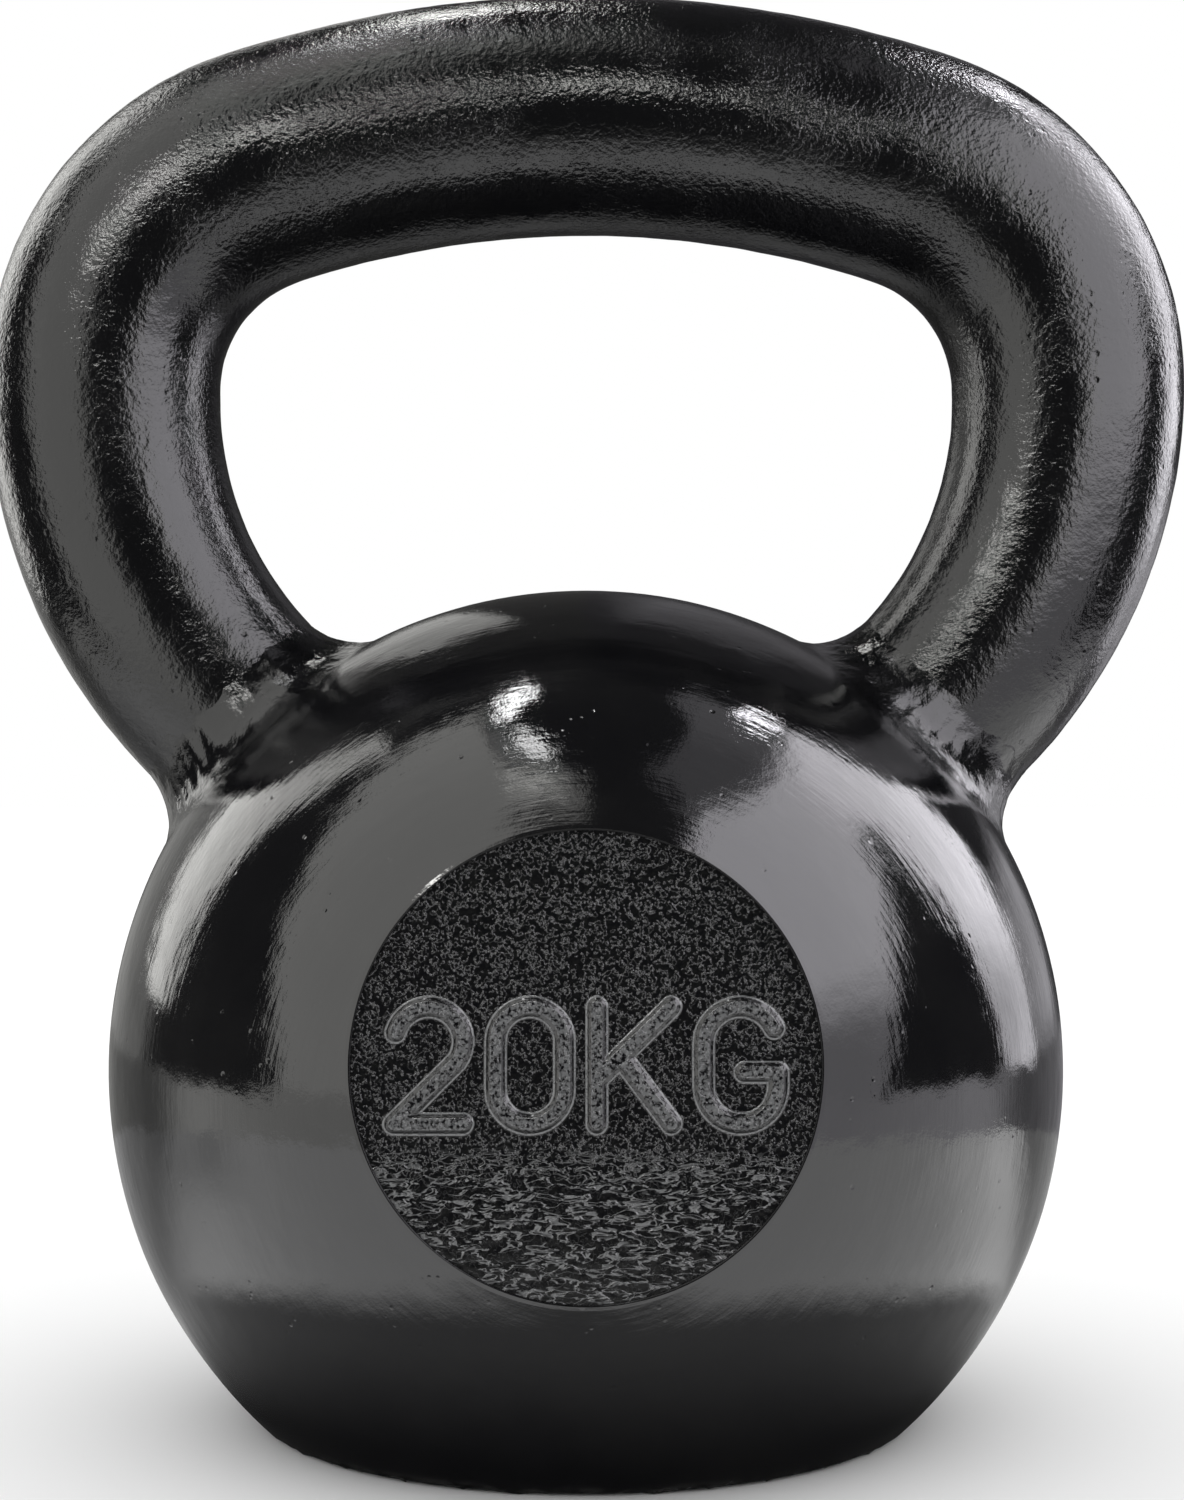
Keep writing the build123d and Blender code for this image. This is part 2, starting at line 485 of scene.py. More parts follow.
def handle_material(name, peel_height):
    """Black gloss enamel over an as-cast surface, with its orange peel and fine grain."""
    enamel = bpy.context.scene.kettlebell_enamel
    material, shader, place = new_material(name)
    z = place.split()[2]
    slow = place.noise(60.0, 3.0, 0.5)
    lumps = place.noise(230.0, 3.0, 0.55)
    peel = place.noise(760.0, 3.0, 0.6)
    grain = place.noise(2300.0, 2.0, 0.65)
    pits = (1.0 - place.cells(340.0).step(0.06, 0.26)) * place.noise(120.0, 1.0).step(0.50, 0.66)
    busy = slow.step(0.36, 0.64)
    worn = (1.0 - place.noise(190.0, 4.0, 0.7).step(0.16, 0.30)) * 0.7
    crust = place.noise(1250.0, 2.0, 0.55)
    rugged = z.step(0.150, 0.215) * 0.6 + 0.4
    height_field = lumps * 0.7 + peel * (0.35 + busy * 0.35) + grain * 0.16 - pits * 0.45
    height_field = height_field + crust * rugged * (0.45 + busy * 0.60)
    normal = height_field.bump(peel_height)
    tone = (lumps * 0.5 + grain * 0.5).mix((*enamel.black, 1.0), shade(0.004, (0.96, 0.98, 1.0)))
    base = worn.mix(tone, (*enamel.worn, 1.0))
    rough = enamel.handle_gloss * (0.75 + busy * 0.5) + grain * 0.05 + worn * 0.15
    set_shader(shader, place, Base_Color=base, Roughness=rough, IOR=1.43, Normal=normal)
    return material


def mark_material():
    """Black gloss enamel over sand cast grain, coarser and drawn sideways low down.

    Along the foot and the crown of the raised mark, and along strands of the grain, it has a paler
    painted highlight."""
    enamel = bpy.context.scene.kettlebell_enamel
    material, shader, place = new_material("recess_enamel")
    x, y, z = place.split()
    low = 1.0 - z.step(0.050, 0.058)
    sideways = place.vector(x * 0.36, y * 0.36, z)
    sand = place.noise(1350.0, 2.0, 0.50)
    grain = place.noise(2600.0, 1.0, 0.5)
    worms = sideways.noise(1000.0, 2.0, 0.5, 0.8)
    height_field = sand.step(0.50, 0.60) * (0.50 - low * 0.44) + grain * 0.03
    height_field = height_field + low * worms.step(0.50, 0.60) * 0.85
    normal = height_field.bump(0.20 * MM)
    speckle_noise = place.noise(1700.0, 2.0, 0.6)
    raised = place.node("ShaderNodeAttribute", 2, {"attribute_name": "raised"})
    # Painted highlight: a paler colour along the foot and crown of the mark and along strands of the
    # grain, standing in for glints.
    foot = raised.band(0.04, 0.24, 0.03)
    crown = raised.step(0.90, 0.97)
    ground = 1.0 - raised.step(0.0, 0.03)
    strands = low * worms.band(0.50, 0.57, 0.02) * 0.75 + sand.band(0.53, 0.57, 0.02) * 0.12
    painted_highlight = foot * (0.45 + speckle_noise * 0.9) + crown * speckle_noise.step(0.38, 0.58) * 0.85 + ground * strands
    tone = speckle_noise.step(0.35, 0.7).mix((*enamel.black, 1.0), shade(0.005, (0.98, 0.99, 1.0)))
    # The pale grey mixed in here is the painted highlight's colour.
    base = painted_highlight.mix(tone, shade(0.13, (0.97, 0.98, 1.0)))
    rough = enamel.mark_gloss * (0.7 + speckle_noise * 0.6)
    set_shader(shader, place, Base_Color=base, Roughness=rough, IOR=1.5, Normal=normal)
    return material


def plug_material():
    """Turned and oil blackened steel: rings about the axis, worn bright on its edges."""
    material, shader, place = new_material("plug_steel")
    x, y, z = place.split()
    radius = (x * x + y * y) ** 0.5
    rings = place.vector(radius * 5200.0, z * 900.0, 0.0).noise(1.0, 3.0, 0.6)
    blotch = place.noise(150.0, 3.0, 0.6)
    rub = radius.band(17.6 * MM, 18.9 * MM, 0.35 * MM) + radius.band(6.2 * MM, 7.6 * MM, 0.4 * MM)
    rub = rub * place.noise(700.0, 3.0, 0.7).step(0.38, 0.6)
    tone = (rings * 0.6 + blotch * 0.4).mix(shade(0.035, (0.95, 0.97, 1.0)), shade(0.12))
    base = rub.mix(tone, shade(0.42, (1.0, 0.98, 0.95)))
    rough = 0.30 + blotch * 0.16 + rings * 0.08
    normal = (rings + blotch * 0.4).bump(0.02 * MM)
    set_shader(shader, place, Base_Color=base, Roughness=rough, Metallic=0.9, Normal=normal)
    return material


def seal_material():
    """Moulded rubber with a matt skin, mould bloom and fine pores."""
    material, shader, place = new_material("seal_rubber")
    bloom = place.noise(240.0, 4.0, 0.65)
    pores = place.cells(1500.0).step(0.0, 0.35)
    skin = place.noise(2600.0, 2.0, 0.6)
    base = bloom.step(0.35, 0.75).mix(shade(0.012), shade(0.030, (1.0, 0.98, 0.95)))
    rough = 0.62 + bloom * 0.2
    normal = (pores * 0.5 + skin * 0.5).bump(0.03 * MM)
    set_shader(shader, place, Base_Color=base, Roughness=rough, Normal=normal)
    return material


def charge_material():
    """Rough cast iron of the charge, with oxide bloom."""
    material, shader, place = new_material("charge_iron")
    sand = place.noise(700.0, 4.0, 0.65)
    bloom = place.noise(160.0, 4.0, 0.6)
    base = bloom.step(0.35, 0.7).mix(shade(0.06, (1.0, 0.98, 0.96)), shade(0.10, (1.3, 0.85, 0.6)))
    rough = 0.55 + sand * 0.3
    normal = sand.bump(0.10 * MM)
    set_shader(shader, place, Base_Color=base, Roughness=rough, Metallic=0.6, Normal=normal)
    return material


# ---------------------------------------------------------------- pieces


def drill(obj, radius, depth):
    """Bores upward from the foot with a cylindrical cutter that starts a little below it."""
    clear_selection()
    reach = 5 * MM
    bpy.ops.mesh.primitive_cylinder_add(
        vertices=96,
        radius=radius,
        depth=depth + reach,
        location=(0, 0, (depth - reach) / 2),
    )
    cutter = bpy.context.object
    modifier = obj.modifiers.new("bore", "BOOLEAN")
    modifier.object = cutter
    modifier.operation = "DIFFERENCE"
    modifier.solver = "EXACT"
    apply_modifiers(obj)
    bpy.data.objects.remove(cutter)


class KETTLEBELL_OT_ball(bpy.types.Operator):
    """Builds the ball with its recess opening, flat foot and bore"""

    bl_idname = "kettlebell.ball"
    bl_label = "Ball"

    def execute(self, context):
        ball = context.scene.kettlebell_ball
        lean = recess_frame()[3]
        behind_floor = 1.6 * MM
        near, at_foot = 0.02 * MM, 0.01 * MM
        clear_selection()
        bpy.ops.mesh.primitive_uv_sphere_add(
            segments=200,
            ring_count=100,
            radius=BALL_RADIUS - ball.skin_gap,
            location=BALL_CENTRE,
            rotation=(math.pi / 2 - lean, 0, 0),
        )
        body = context.object
        body.name = "ball_casting"
        settle(body)
        open_edit(body)
        for facing in (-1, 1):
            axis, local, distance, lean = recess_frame(facing)
            cut = distance - ball.skin_gap
            bpy.ops.mesh.select_all(action="SELECT")
            bpy.ops.mesh.bisect(plane_co=BALL_CENTRE + axis * cut, plane_no=axis, clear_outer=True)
            bpy.ops.mesh.extrude_edges_move(
                TRANSFORM_OT_translate={"value": -axis * (ball.recess_depth + behind_floor)}
            )
            bpy.ops.mesh.edge_face_add()
            pick_vertices(body, lambda place: abs((place - BALL_CENTRE).dot(axis) - cut) < near)
            bpy.ops.mesh.bevel(offset=ball.recess_rim, segments=4, affect="EDGES")
        bpy.ops.mesh.select_all(action="SELECT")
        bpy.ops.mesh.bisect(plane_co=(0, 0, 0), plane_no=(0, 0, -1), clear_outer=True, use_fill=True)
        pick_vertices(body, lambda place: abs(place.z) < at_foot)
        bpy.ops.mesh.bevel(offset=ball.foot_edge, segments=4, affect="EDGES")
        close_edit()
        waves = weigh(body, "waves", lambda place: clamp((place.z - 3 * MM) / (8 * MM)))
        roughen(body, ball.wave_size, ball.waves, waves)
        roughen(body, ball.dimple_size, ball.waves * 0.12, waves)
        drill(body, ball.counterbore_radius, ball.counterbore_depth)
        drill(body, ball.bore_radius, ball.bore_depth)
        smooth(body, 30)
        finish_piece(body, ball_material(), "ball_enamel", "ball")
        return {"FINISHED"}


def arc(centre, radius_x, radius_y, start, end, count=20):
    """Points along part of an ellipse, angles in degrees."""
    points = []
    for index in range(count + 1):
        angle = math.radians(start + (end - start) * index / count)
        points.append(
            (centre[0] + radius_x * math.cos(angle), centre[1] + radius_y * math.sin(angle))
        )
    return points


def two(half, bow):
    """The centre line of a 2."""
    points = arc((0, half - bow), bow, bow, 165, -35)
    points += [(-bow, -half), (bow, -half)]
    return [points]


def zero(half, bow):
    """The centre line of a 0 with straight sides."""
    points = arc((0, half - bow), bow, bow, 180, 0)
    points += arc((0, bow - half), bow, bow, 0, -180)
    return [points + points[:1]]


def letter_k(half, bow):
    """The centre lines of a K."""
    top = (bow, half)
    knee = (-bow, -0.25 * half)
    start = (knee[0] + 0.32 * (top[0] - knee[0]), knee[1] + 0.32 * (top[1] - knee[1]))
    return [[(-bow, half), (-bow, -half)], [knee, top], [start, (bow, -half)]]


def letter_g(half, bow):
    """The centre line of a G with straight sides."""
    points = arc((0, half - bow), bow, bow, 25, 180)
    points += arc((0, bow - half), bow, bow, 180, 360)
    points += [(bow, -0.12 * half), (0.1 * bow, -0.12 * half)]
    return [points]


def mark_strokes():
    """Every centre line of the weight mark, in the recess's own frame."""
    mark = bpy.context.scene.kettlebell_mark
    half = (mark.height - mark.stroke) / 2
    figure, letter = 5.1 * MM, 5.5 * MM
    lines = []
    for shape, bow, middle in (
        (two, figure, -23.3 * MM),
        (zero, figure, -8.3 * MM),
        (letter_k, letter, 7.1 * MM),
        (letter_g, letter, 22.9 * MM),
    ):
        for points in shape(half, bow):
            lines.append([(x + middle, y) for x, y in points])
    return lines


def stroke_lines(level):
    """The centre lines of the weight mark as one wire mesh at that level."""
    points, edges = [], []
    for line in mark_strokes():
        start = len(points)
        points += [(x, y, level) for x, y in line]
        edges += [(start + i, start + i + 1) for i in range(len(line) - 1)]
    mesh = bpy.data.meshes.new("strokes")
    mesh.from_pydata(points, edges, [])
    strokes = bpy.data.objects.new("strokes", mesh)
    bpy.context.collection.objects.link(strokes)
    return strokes


def raise_mark(plate, level):
    """Sinks the plate everywhere but along the strokes, which stay as flat topped ridges.

    The attribute raised is 1 on their tops and 0 on the sunk floor."""
    mark = bpy.context.scene.kettlebell_mark
    strokes = stroke_lines(level)
    weigh(plate, "ground", lambda place: 1.0)
    nearness = plate.modifiers.new("nearness", "VERTEX_WEIGHT_PROXIMITY")
    nearness.vertex_group = "ground"
    nearness.target = strokes
    nearness.proximity_mode = "GEOMETRY"
    nearness.proximity_geometry = {"EDGE"}
    nearness.min_dist = mark.top_half
    nearness.max_dist = mark.foot_half
    nearness.falloff_type = "SMOOTH"
    sink = plate.modifiers.new("sink", "DISPLACE")
    sink.vertex_group = "ground"
    sink.direction = "Z"
    sink.mid_level = 0.0
    sink.strength = -mark.relief
    apply_modifiers(plate)
    bpy.data.objects.remove(strokes)
    raised = plate.data.attributes.new("raised", "FLOAT", "POINT")
    for vertex in plate.data.vertices:
        raised.data[vertex.index].value = clamp(1.0 - (level - vertex.co.z) / mark.relief)


def build_plate(name, facing, marked):
    """The flat floor of a recess, as cast, with or without the weight mark."""
    scene = bpy.context.scene
    ball, mark = scene.kettlebell_ball, scene.kettlebell_mark
    axis, local, distance, lean = recess_frame(facing)
    tucked = 0.5 * MM
    thickness = 0.6 * MM
    reach = ball.recess_radius + tucked
    floor_level = distance - ball.recess_depth
    top_level = floor_level + mark.relief if marked else floor_level
    step = mark.grid_step if marked else mark.grid_step * 2
    clear_selection()
    count = int(2 * reach / step)
    bpy.ops.mesh.primitive_grid_add(
        x_subdivisions=count, y_subdivisions=count, size=2 * reach, location=(0, 0, top_level)
    )
    plate = bpy.context.object
    plate.name = name
    settle(plate)
    open_edit(plate)
    pick_vertices(plate, lambda place: math.hypot(place.x, place.y) > reach)
    bpy.ops.mesh.delete(type="VERT")
    close_edit()
    if marked:
        raise_mark(plate, top_level)
    low = weigh(plate, "low", lambda place: clamp((-place.y - mark.drawn_below) / (3 * MM)))
    roughen(plate, 0.85 * MM, 0.03 * MM, level=0.5)
    roughen(plate, 1.9 * MM, 0.05 * MM, low, level=0.5)
    open_edit(plate)
    bpy.ops.mesh.select_all(action="SELECT")
    bpy.ops.mesh.region_to_loop()
    bpy.ops.mesh.extrude_edges_move(TRANSFORM_OT_translate={"value": (0, 0, -thickness)})
    bpy.ops.mesh.edge_face_add()
    close_edit()
    plate.data.transform(local)
    plate.data.update()
    smooth(plate, 80)
    return plate


class KETTLEBELL_OT_recesses(bpy.types.Operator):
    """Builds the two recess floors, the front one with the raised weight mark"""

    bl_idname = "kettlebell.recesses"
    bl_label = "Recesses and weight mark"

    def execute(self, context):
        material = mark_material()
        for name, facing in (("front_recess", -1), ("back_recess", 1)):
            plate = build_plate(name, facing, marked=facing < 0)
            finish_piece(plate, material, "ball_enamel", "ball")
        return {"FINISHED"}


def half_stations(handle):
    """Places, headings and bar radii from the buried end of the right leg up to the grip's middle."""
    lean = handle.root_angle
    top_turn = math.pi / 2 + lean - handle.leg_turn - handle.shoulder_turn
    stations = []
    buried = 62 * MM
    for index in range(6):
        reach = buried + (handle.root_end - buried) * index / 6
        stations.append((reach * math.sin(lean), reach * math.cos(lean), lean, handle.bar_root))
    x, z = handle.root_end * math.sin(lean), handle.root_end * math.cos(lean)
    heading = lean
    over_shoulder = x + handle.leg_radius * (math.cos(lean - handle.leg_turn) - math.cos(lean))
    at_top = lean - handle.leg_turn - handle.shoulder_turn
    over_shoulder += handle.shoulder_radius * (math.cos(at_top) - math.cos(lean - handle.leg_turn))
    top_radius = over_shoulder / math.sin(top_turn)
    for radius, angle, steps, bar_start, bar_end in (
        (handle.leg_radius, handle.leg_turn, 16, handle.bar_root, handle.bar_shoulder),
        (handle.shoulder_radius, handle.shoulder_turn, 18, handle.bar_shoulder, handle.bar_grip),
        (top_radius, top_turn, 14, handle.bar_grip, handle.bar_grip),
    ):
        for index in range(steps):
            now = heading - angle * index / steps
            stations.append(
                (
                    x + radius * (math.cos(now) - math.cos(heading)),
                    z + radius * (math.sin(heading) - math.sin(now)),
                    now,
                    bar_start + (bar_end - bar_start) * index / steps,
                )
            )
        x += radius * (math.cos(heading - angle) - math.cos(heading))
        z += radius * (math.sin(heading) - math.sin(heading - angle))
        heading -= angle
    stations.append((x, z, heading, handle.bar_grip))
    return stations


def bar_stations(handle):
    """The whole loop, from the left root over the grip to the right root."""
    right = half_stations(handle)
    left = [(-x, z, -heading, radius) for x, z, heading, radius in right[:-1]]
    back = [(x, z, heading + math.pi, radius) for x, z, heading, radius in reversed(right)]
    stations = left + back
    return [
        (Vector((x, 0, z)) + BALL_CENTRE, heading, radius) for x, z, heading, radius in stations
    ]


class KETTLEBELL_OT_handle(bpy.types.Operator):
    """Builds the looped handle, drawn along its bends from root to root"""

    bl_idname = "kettlebell.handle"
    bl_label = "Handle"

    def execute(self, context):
        handle = context.scene.kettlebell_handle
        stations = bar_stations(handle)
        place, heading, radius = stations[0]
        # The bar starts a little thicker, by what smoothing takes off its radius.
        swell = 1.0028
        clear_selection()
        bpy.ops.mesh.primitive_circle_add(
            vertices=handle.sides,
            radius=radius * swell,
            location=place,
            rotation=(0, heading, 0),
            fill_type="NGON",
        )
        bar = context.object
        bar.name = "handle_casting"
        settle(bar)
        open_edit(bar)
        bpy.ops.mesh.select_all(action="SELECT")
        for next_place, next_heading, next_radius in stations[1:]:
            bpy.ops.mesh.extrude_region_move(TRANSFORM_OT_translate={"value": next_place - place})
            bend = (next_heading - heading + math.pi) % (2 * math.pi) - math.pi
            if abs(bend) > 1e-6:
                bpy.ops.transform.rotate(value=-bend, orient_axis="Y", center_override=next_place)
            if abs(next_radius - radius) > 1e-9:
                scale = next_radius / radius
                bpy.ops.transform.resize(value=(scale,) * 3, center_override=next_place)
            place, heading, radius = next_place, next_heading, next_radius
        bpy.ops.mesh.select_all(action="SELECT")
        bpy.ops.mesh.normals_make_consistent(inside=False)
        close_edit()
        subdivide(bar, 2)
        roughen(bar, 24 * MM, handle.sway)
        roughen(bar, 4.5 * MM, handle.cast_height)
        roughen(bar, 1.9 * MM, handle.cast_height * 0.4)
        smooth(bar, 60)
        material = handle_material("handle_enamel", 0.20 * MM)
        finish_piece(bar, material, "handle_enamel", "handle")
        return {"FINISHED"}


def root_profile(handle):
    """Distance along the root's axis and from it, from inside the bar to inside the ball.

    The visible part is one hollow curve whose knee lies close to the bar."""
    bar = handle.bar_root - 0.45 * MM
    start_along, start_out = 91.5 * MM, bar
    end_out = 27.0 * MM
    end_along = math.sqrt((BALL_RADIUS - 0.35 * MM) ** 2 - end_out**2)
    knee_along, knee_out = 81.0 * MM, bar + 0.5 * MM
    points = [(90 * MM, 9 * MM), (92.0 * MM, bar - 1.2 * MM)]
    steps = 12
    for index in range(steps + 1):
        t = index / steps
        along = (1 - t) ** 2 * start_along + 2 * t * (1 - t) * knee_along + t * t * end_along
        out = (1 - t) ** 2 * start_out + 2 * t * (1 - t) * knee_out + t * t * end_out
        points.append((along, out))
    points += [(end_along - 2.5 * MM, end_out - 0.3 * MM), (66 * MM, 15 * MM)]
    return points


def build_root(name, side):
    """One ridged, hollow fillet between a leg and the ball."""
    scene = bpy.context.scene
    handle = scene.kettlebell_handle
    lean = side * handle.root_angle
    axis = Vector((math.sin(lean), 0, math.cos(lean)))
    points = root_profile(handle)
    along, out = points[0]
    clear_selection()
    bpy.ops.mesh.primitive_circle_add(
        vertices=72,
        radius=out,
        location=BALL_CENTRE + axis * along,
        rotation=(0, lean, 0),
        fill_type="NGON",
    )
    root = bpy.context.object
    root.name = name
    settle(root)
    open_edit(root)
    bpy.ops.mesh.select_all(action="SELECT")
    for next_along, next_out in points[1:]:
        bpy.ops.mesh.extrude_region_move(
            TRANSFORM_OT_translate={"value": axis * (next_along - along)}
        )
        bpy.ops.transform.resize(
            value=(next_out / out,) * 3, center_override=BALL_CENTRE + axis * next_along
        )
        along, out = next_along, next_out
    bpy.ops.mesh.select_all(action="SELECT")
    bpy.ops.mesh.normals_make_consistent(inside=False)
    close_edit()
    subdivide(root, 2)

    def fillet_only(place):
        """1 on the fillet, 0 where it is hidden in the ball."""
        reach = (place - BALL_CENTRE).length
        return clamp((reach - 82.4 * MM) / (0.8 * MM))

    across = Vector((math.cos(lean), 0, -math.sin(lean)))
    ripple_height = 0.15 * MM
    for vertex in root.data.vertices:
        offset = vertex.co - BALL_CENTRE
        angle = math.atan2(offset.y, offset.dot(across))
        ripple = math.sin(31 * angle + 2.2 * math.sin(5 * angle + side))
        ripple *= 0.6 + 0.4 * math.sin(3 * angle + 1)
        height = offset.length - 83.0 * MM
        share_up = clamp(height / (1.2 * MM)) * clamp((9.5 * MM - height) / (4.0 * MM))
        vertex.co += offset.normalized() * (ripple * share_up * ripple_height)
    skin = weigh(root, "skin", fillet_only)
    roughen(root, 8 * MM, 0.4 * MM, skin, level=0.5)
    roughen(root, 2.6 * MM, 0.25 * MM, skin, level=0.5)
    smooth(root, 60)
    return root


class KETTLEBELL_OT_roots(bpy.types.Operator):
    """Builds the two ridged fillets where the handle meets the ball"""

    bl_idname = "kettlebell.roots"
    bl_label = "Handle roots"

    def execute(self, context):
        material = handle_material("root_enamel", 0.18 * MM)
        for side, name, node in (
            (-1, "left_root_fillet", "left_weld"),
            (1, "right_root_fillet", "right_weld"),
        ):
            finish_piece(build_root(name, side), material, "weld_enamel", node)
        return {"FINISHED"}


class KETTLEBELL_OT_fittings(bpy.types.Operator):
    """Finishes the plug, its seal and the charge, which keep their frame shapes"""

    bl_idname = "kettlebell.fittings"
    bl_label = "Plug, seal and charge"

    def execute(self, context):
        for node, make in (
            ("base_plug", plug_material),
            ("plug_seal", seal_material),
            ("ballast", charge_material),
        ):
            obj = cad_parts[node]
            material = make()
            for slot in obj.material_slots:
                slot.link = "OBJECT"
                slot.material = material
        return {"FINISHED"}


# ---------------------------------------------------------------- stage


def glossy_only(obj):
    """Shown in reflections alone."""
    obj.visible_camera = False
    obj.visible_diffuse = False
    obj.visible_transmission = False
    obj.visible_volume_scatter = False
    obj.visible_shadow = False


def light_material(name, strength_of, colour_of=None):
    """A material that gives light by place."""
    material = bpy.data.materials.new(name)
    material.use_nodes = True
    tree = material.node_tree
    tree.nodes.clear()
    output = tree.nodes.new("ShaderNodeOutputMaterial")
    light = tree.nodes.new("ShaderNodeEmission")
    tree.links.new(light.outputs[0], output.inputs[0])
    coordinates = tree.nodes.new("ShaderNodeTexCoord")
    place = Socket(tree, coordinates.outputs["Object"])
    x, y, z = place.split()
    bearing = x.math("ARCTAN2", x, -y) * math.degrees(1)
    strength = strength_of(bearing, x * 1000.0, y * 1000.0, z * 1000.0)
    place.feed(light.inputs["Strength"], strength * bpy.context.scene.kettlebell_studio.panel)
    if colour_of:
        place.feed(light.inputs["Color"], colour_of(bearing, z * 1000.0))
    return material


def wall_strength(bearing, x, y, z):
    """Brightness of the ring of panels, by bearing in degrees and height in millimetres."""
    # The left panel, a dark opening beside it and a bright upright strip behind that.
    left_edge = -64.2 - z * 0.0463
    left_wall = (bearing - left_edge).step(-0.8, 0.8) * (1.0 - bearing.step(-30, -20)) * 2.2
    strip_left = z.math("MAXIMUM", z * -0.052 - 113.0, -136.0)
    strip_right = -107.0 + z * 0.020
    strip = (bearing - strip_left).step(-1.5, 1.5)
    strip = strip * (1.0 - (bearing - strip_right).step(-1.0, 1.0)) * z.band(95, 560, 8) * 3.3
    lower_strip = bearing.band(-150, -112, 5) * z.band(-20, 340, 50) * 0.4
    # The right panel, brighter behind, with a dark gap that narrows upward.
    rise = z - 50.0
    gap_left = 62.0 + rise * 0.082
    gap_right = 102.0 - rise * 0.0465
    gap = (bearing - gap_left).step(-0.8, 0.8) * (1.0 - (bearing - gap_right).step(-0.8, 0.8))
    right_start = 22.0 + z.step(330, 500) * 17.0
    past_end = (bearing - z.step(260, 340) * 9.0).step(115, 119)
    right_level = 1.6 + z.step(90, 190) * 3.6 + bearing.step(80, 88) * 1.2
    right_level = right_level * (1.0 - z.step(510, 620) * 0.88)
    right_wall = (bearing - right_start).step(-3, 3) * (1.0 - past_end) * (1.0 - gap)
    right_wall = right_wall * right_level
    right_end = bearing.band(117, 139, 6) * z.band(48, 160, 25) * 0.85
    patch_right = bearing.band(150, 175, 4) * z.band(250, 450, 30) * 0.15
    # Small lamps and patches high up and behind, and a narrow strip over the camera.
    over_front = bearing.band(-30, 2, 5) * z.step(600, 720) * 1.5
    top_lamp = bearing.band(-46, -8, 3) * z.band(880, 1000, 14) * 3.5
    lamp_left = bearing.band(-172, -150, 2) * z.band(770, 1010, 14) * 13.0
    patch_left = bearing.band(-168, -151, 1.5) * z.band(235, 450, 12) * 0.8
    lamp_right = bearing.band(107, 126, 2) * z.band(590, 720, 10) * 26.0
    brow = bearing.band(-41, 5, 3) * z.band(306, 330, 3) * 24.0
    total = left_wall + strip + lower_strip + right_wall + over_front + top_lamp
    total = total + lamp_left + patch_left + lamp_right + patch_right + right_end + brow
    # A skirting below the panels, dark straight ahead, and a fade toward the top.
    above_skirting = z.step(38, 50)
    skirting = 1.5 * bearing.band(-98, 100, 12) * (1.0 - bearing.band(-20, 20, 5) * 0.85) + 0.2
    fade = 1.0 - z.step(1020, 1190) * 0.85
    return 0.06 + above_skirting * total * fade + (1.0 - above_skirting) * skirting


def wall_colour(bearing, z):
    """Warm grey on the left, faintly lilac on the right."""
    side = bearing.step(10, 40)
    return side.mix((1.0, 0.995, 0.965, 1.0), (0.965, 0.945, 1.0, 1.0))


def table_strength(bearing, x, y, z):
    """Brightness of the glowing card that the enamel sees as the table, with painted shadow under the
    ball and behind it.
    """
    radius = (x * x + y * y) ** 0.5
    contact = radius.step(97, 116)
    right = x.step(-1, 1)
    edge = (x * 0.44 - 50.0) * right + (x * -0.36 - 72.0) * (1.0 - right)
    shaded = (y - edge).step(-26, 62)
    beside = y.step(-90, -20)
    lit = 2.15 + x.step(110, 240) * beside * 0.5 - (-x).step(110, 240) * beside * 0.9
    level = lit * (1.0 - shaded) + 0.40 * shaded
    ahead = 1.0 - radius.step(220, 310) * bearing.band(-24, 22, 6) * 0.85
    under = 0.02 + radius.step(60, 98) * 0.42
    return under * (1.0 - contact) + level * contact * ahead


def ceiling_strength(bearing, x, y, z):
    """Brightness of the tent's top: dark, with a soft panel and two lamps on the left."""
    radius = (x * x + y * y) ** 0.5
    lamp = bearing.band(-78, -30, 4) * radius.band(205, 262, 8) * 15.0
    left = bearing.band(-93, -5, 4) * radius.step(265, 300) * 1.4
    lamp_back = bearing.band(-140, -106, 3) * radius.band(258, 314, 6) * 26.0
    return 0.06 + left + lamp + lamp_back


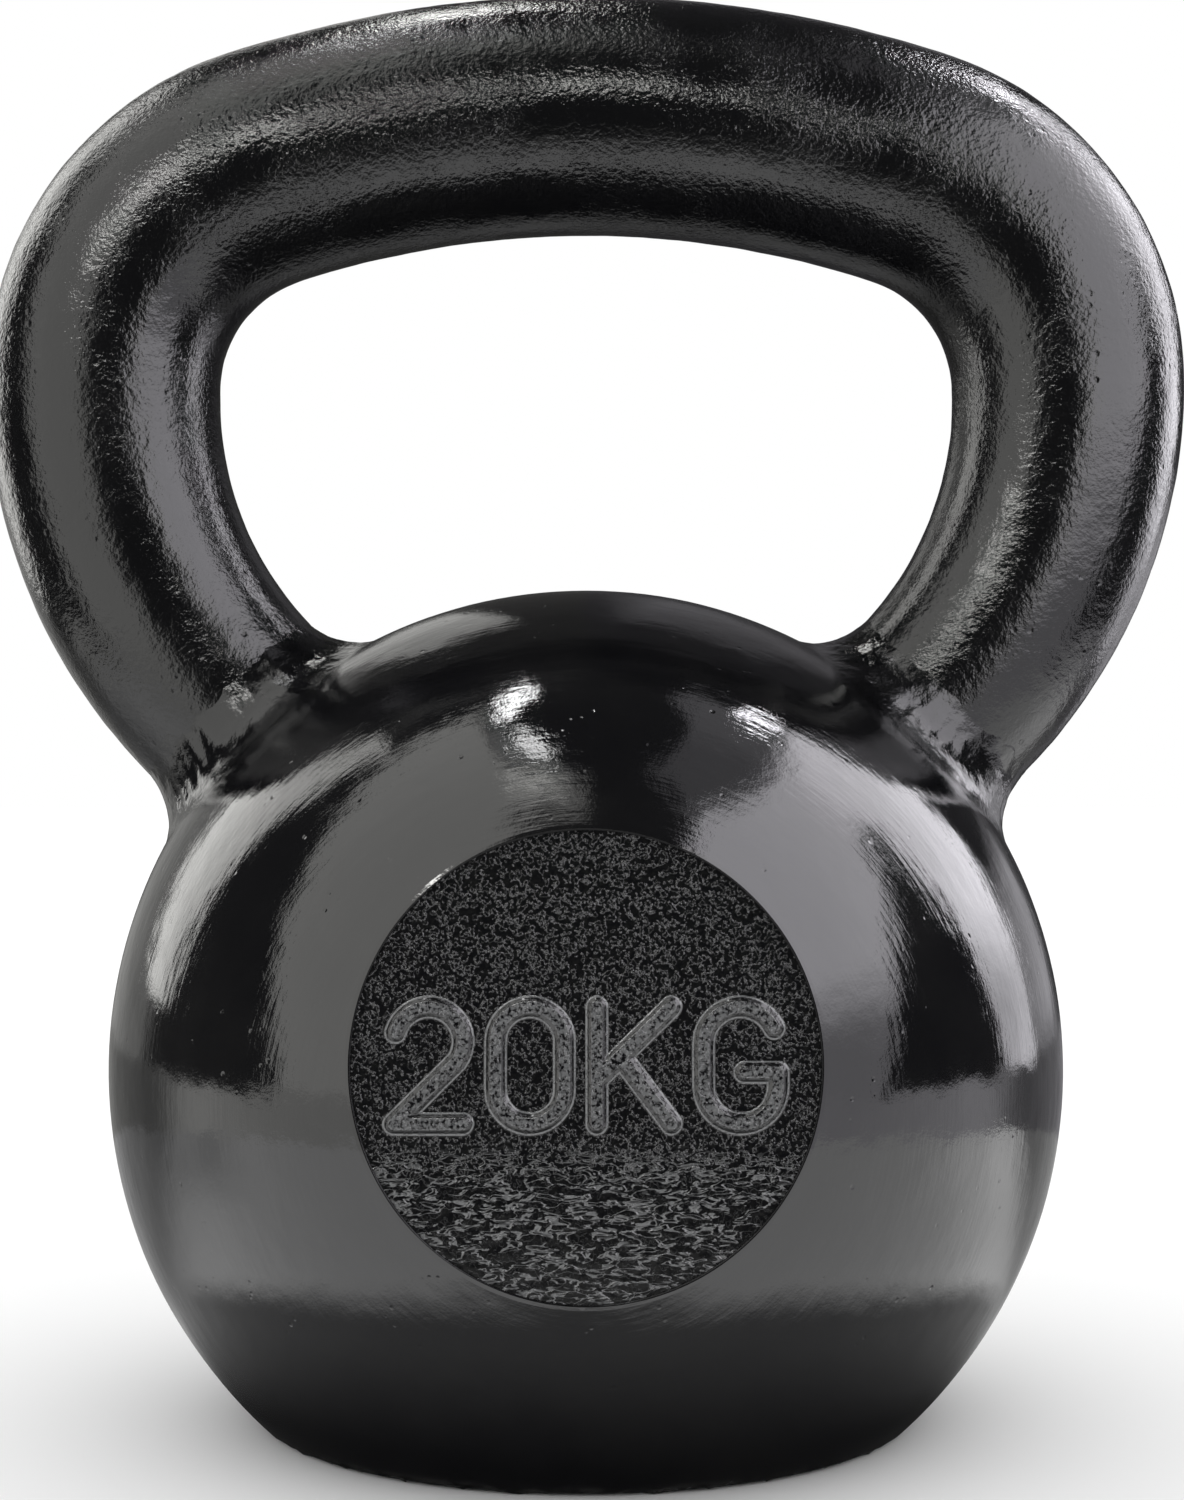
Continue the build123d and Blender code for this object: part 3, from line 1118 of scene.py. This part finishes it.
class KETTLEBELL_OT_stage(bpy.types.Operator):
    """Builds the pale floor, the white backdrop light and the tent of soft panels"""

    bl_idname = "kettlebell.stage"
    bl_label = "Floor and soft light"

    def execute(self, context):
        studio = context.scene.kettlebell_studio
        clear_selection()
        floor_gap = 0.05 * MM
        bpy.ops.mesh.primitive_plane_add(size=12, location=(0, 0, -floor_gap))
        floor = context.object
        floor.name = "floor"
        material, shader, place = new_material("floor_paper")
        fleck = place.noise(900.0, 3.0, 0.6)
        base = fleck.mix((*studio.floor, 1.0), tuple(v * 0.985 for v in studio.floor) + (1.0,))
        set_shader(shader, place, Base_Color=base, Roughness=1.0)
        shader.inputs["Specular IOR Level"].default_value = 0.0
        floor.data.materials.append(material)
        floor.visible_glossy = False
        clear_selection()
        bpy.ops.mesh.primitive_cylinder_add(
            vertices=128,
            radius=studio.tent_radius,
            depth=studio.tent_height,
            end_fill_type="NOTHING",
            location=(0, 0, studio.tent_height / 2),
        )
        wall = context.object
        wall.name = "tent_wall"
        settle(wall)
        wall.data.materials.append(light_material("tent_wall", wall_strength, wall_colour))
        glossy_only(wall)
        for name, height, strength in (
            ("tent_table", -0.6 * MM, table_strength),
            ("tent_ceiling", studio.tent_height, ceiling_strength),
        ):
            clear_selection()
            bpy.ops.mesh.primitive_circle_add(
                vertices=128,
                radius=studio.tent_radius * 1.01,
                location=(0, 0, height),
                fill_type="NGON",
            )
            card = context.object
            card.name = name
            settle(card)
            card.data.materials.append(light_material(name, strength))
            glossy_only(card)
        world = bpy.data.worlds.new("soft_light")
        context.scene.world = world
        world.use_nodes = True
        tree = world.node_tree
        tree.nodes.clear()
        output = tree.nodes.new("ShaderNodeOutputWorld")
        background = tree.nodes.new("ShaderNodeBackground")
        tree.links.new(background.outputs[0], output.inputs[0])
        path = Socket(tree, tree.nodes.new("ShaderNodeLightPath").outputs["Is Camera Ray"])
        background.inputs["Color"].default_value = shade(1.0)
        strength = path * (studio.backdrop - studio.fill) + studio.fill
        path.feed(background.inputs["Strength"], strength)
        world.cycles_visibility.glossy = False
        return {"FINISHED"}


class KETTLEBELL_OT_camera(bpy.types.Operator):
    """Places the camera in front of the weight mark"""

    bl_idname = "kettlebell.camera"
    bl_label = "Camera"

    def execute(self, context):
        studio = context.scene.kettlebell_studio
        data = bpy.data.cameras.new("camera")
        camera = bpy.data.objects.new("camera", data)
        context.collection.objects.link(camera)
        rise = studio.camera_rise
        camera.location = BALL_CENTRE + studio.camera_distance * Vector(
            (0, -math.cos(rise), math.sin(rise))
        )
        camera.rotation_euler = (math.pi / 2 + studio.camera_tilt, 0, -studio.camera_pan)
        data.lens = studio.lens
        data.sensor_width = 36
        data.clip_start = 0.01
        data.dof.use_dof = False
        context.scene.camera = camera
        context.scene.view_settings.view_transform = "Standard"
        return {"FINISHED"}


# ---------------------------------------------------------------- panel and registration


BUILD_ORDER = (
    KETTLEBELL_OT_ball,
    KETTLEBELL_OT_recesses,
    KETTLEBELL_OT_handle,
    KETTLEBELL_OT_roots,
    KETTLEBELL_OT_fittings,
    KETTLEBELL_OT_stage,
    KETTLEBELL_OT_camera,
)
GROUPS = {
    "kettlebell_ball": KETTLEBELL_PG_ball,
    "kettlebell_mark": KETTLEBELL_PG_mark,
    "kettlebell_handle": KETTLEBELL_PG_handle,
    "kettlebell_enamel": KETTLEBELL_PG_enamel,
    "kettlebell_studio": KETTLEBELL_PG_studio,
}


class KETTLEBELL_PT_build(bpy.types.Panel):
    """Lists the steps that build the kettlebell"""

    bl_idname = "KETTLEBELL_PT_build"
    bl_label = "Cast kettlebell"
    bl_space_type = "VIEW_3D"
    bl_region_type = "UI"
    bl_category = "Kettlebell"

    def draw(self, context):
        for operator in BUILD_ORDER:
            self.layout.operator(operator.bl_idname)
        for name, group in GROUPS.items():
            box = self.layout.box()
            box.label(text=group.__doc__)
            for prop in group.__annotations__:
                box.prop(getattr(context.scene, name), prop)


def register():
    for group in GROUPS.values():
        bpy.utils.register_class(group)
    for name, group in GROUPS.items():
        setattr(bpy.types.Scene, name, bpy.props.PointerProperty(type=group))
    for operator in BUILD_ORDER:
        bpy.utils.register_class(operator)
    bpy.utils.register_class(KETTLEBELL_PT_build)


def unregister():
    bpy.utils.unregister_class(KETTLEBELL_PT_build)
    for operator in reversed(BUILD_ORDER):
        bpy.utils.unregister_class(operator)
    for name in GROUPS:
        delattr(bpy.types.Scene, name)
    for group in reversed(list(GROUPS.values())):
        bpy.utils.unregister_class(group)


def main():
    """Registers the add-on and builds every piece in order."""
    register()
    for operator in BUILD_ORDER:
        group, name = operator.bl_idname.split(".")
        result = getattr(getattr(bpy.ops, group), name)()
        if result != {"FINISHED"}:
            raise RuntimeError(operator.bl_label + " was not built")
    clear_selection()
    bpy.context.view_layer.update()


if __name__ == "__main__":
    main()
